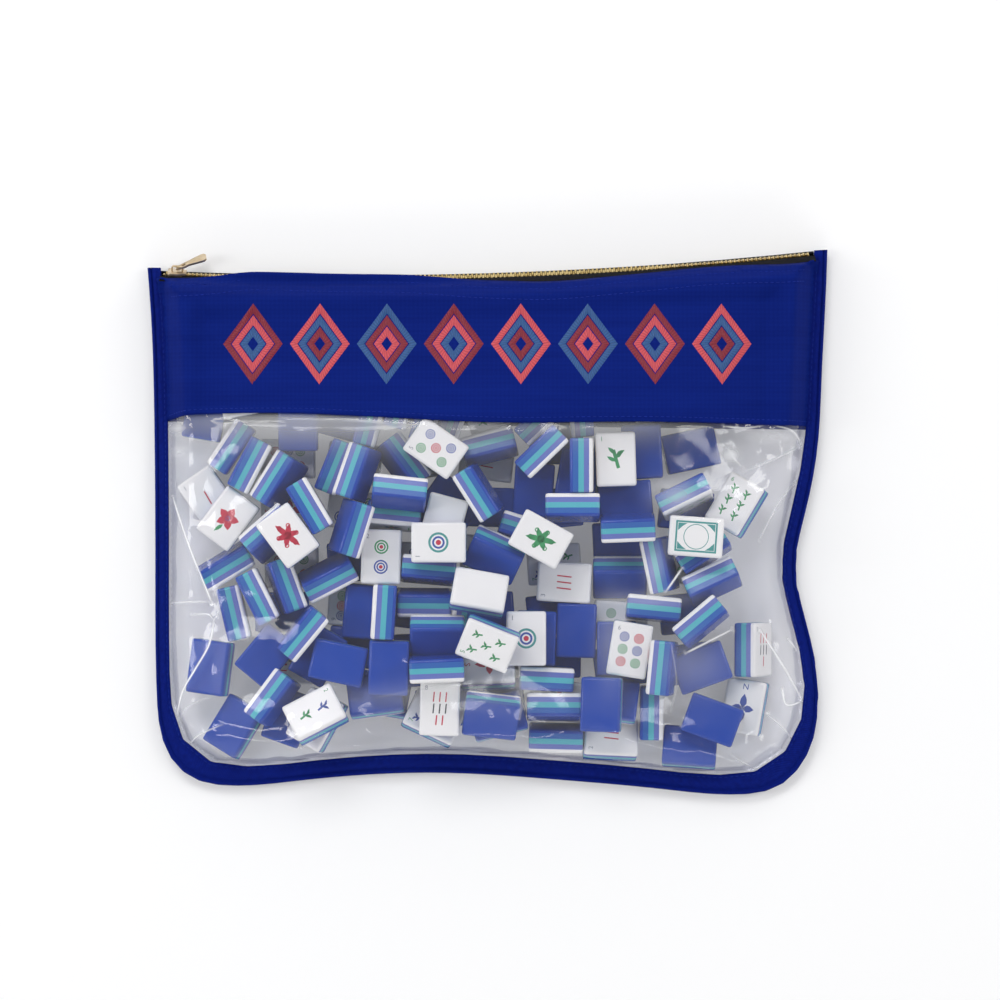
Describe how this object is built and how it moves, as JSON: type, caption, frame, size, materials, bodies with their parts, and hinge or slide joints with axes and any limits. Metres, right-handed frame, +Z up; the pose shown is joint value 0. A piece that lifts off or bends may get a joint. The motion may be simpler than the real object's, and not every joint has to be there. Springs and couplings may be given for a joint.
{
  "type": "mahjong tile bag",
  "caption": "Clear zipped pouch with woven bands and a bound edge, lying on its back and filled with a heap of laminated game tiles.",
  "frame": {"origin": "middle of the bag in plan, on the table under it", "axes": "+X to the right along the zip, +Y from the bottom seam toward the mouth, +Z up from the table"},
  "size_m": [0.3792, 0.3038, 0.0701],
  "materials": {
    "clear_vinyl": "clear soft film, glossy and creased",
    "blue_cloth": "fine plain weave",
    "blue_binding": "twill tape, stitched",
    "black_tape": "herringbone zip tape",
    "zip_brass": "pale, polished",
    "slider_gold": "champagne gold plate",
    "laminated_acrylic": "polished white face over layers of periwinkle, turquoise and blue"
  },
  "bodies": {
    "bag": {"front_vinyl_panel": "clear_vinyl", "back_vinyl_panel": "clear_vinyl", "front_band": "blue_cloth", "back_band": "blue_cloth", "edge_binding": "blue_binding", "zip_tape_front": "black_tape", "zip_tape_back": "black_tape", "zip_teeth_front": "zip_brass", "zip_teeth_back": "zip_brass", "dot_1_tiles": "laminated_acrylic", "dot_2_tiles": "laminated_acrylic", "dot_3_tiles": "laminated_acrylic", "dot_4_tiles": "laminated_acrylic", "dot_5_tiles": "laminated_acrylic", "dot_6_tiles": "laminated_acrylic", "dot_7_tiles": "laminated_acrylic", "dot_8_tiles": "laminated_acrylic", "dot_9_tiles": "laminated_acrylic", "bamboo_1_tiles": "laminated_acrylic", "bamboo_2_tiles": "laminated_acrylic", "bamboo_3_tiles": "laminated_acrylic", "bamboo_4_tiles": "laminated_acrylic", "bamboo_5_tiles": "laminated_acrylic", "bamboo_6_tiles": "laminated_acrylic", "bamboo_7_tiles": "laminated_acrylic", "bamboo_8_tiles": "laminated_acrylic", "bamboo_9_tiles": "laminated_acrylic", "character_1_tiles": "laminated_acrylic", "character_2_tiles": "laminated_acrylic", "character_3_tiles": "laminated_acrylic", "character_4_tiles": "laminated_acrylic", "character_5_tiles": "laminated_acrylic", "character_6_tiles": "laminated_acrylic", "character_7_tiles": "laminated_acrylic", "character_8_tiles": "laminated_acrylic", "character_9_tiles": "laminated_acrylic", "wind_east_tiles": "laminated_acrylic", "wind_south_tiles": "laminated_acrylic", "wind_west_tiles": "laminated_acrylic", "wind_north_tiles": "laminated_acrylic", "dragon_red_tiles": "laminated_acrylic", "dragon_green_tiles": "laminated_acrylic", "dragon_white_tiles": "laminated_acrylic", "flower_tiles": "laminated_acrylic", "season_tiles": "laminated_acrylic", "blank_tiles": "laminated_acrylic"},
    "slider": {"slider_body": "slider_gold", "slider_crown": "slider_gold"},
    "puller": {"zip_puller": "slider_gold"}
  },
  "joints": [
    {"name": "slider_travel", "type": "hinge", "parent": "bag", "child": "slider", "pos_m": [-0.0726, 2.5522, 0.007], "axis": [0, 0, 1], "range_deg": [0, 7.95], "deforming": ["zip_teeth_front", "zip_teeth_back"]},
    {"name": "puller_hinge", "type": "hinge", "parent": "slider", "child": "puller", "pos_m": [-0.17285, 0.14145, 0.00833], "axis": [-0.0142, -0.3417, 0.9397], "range_deg": [-28, 150]}
  ]
}
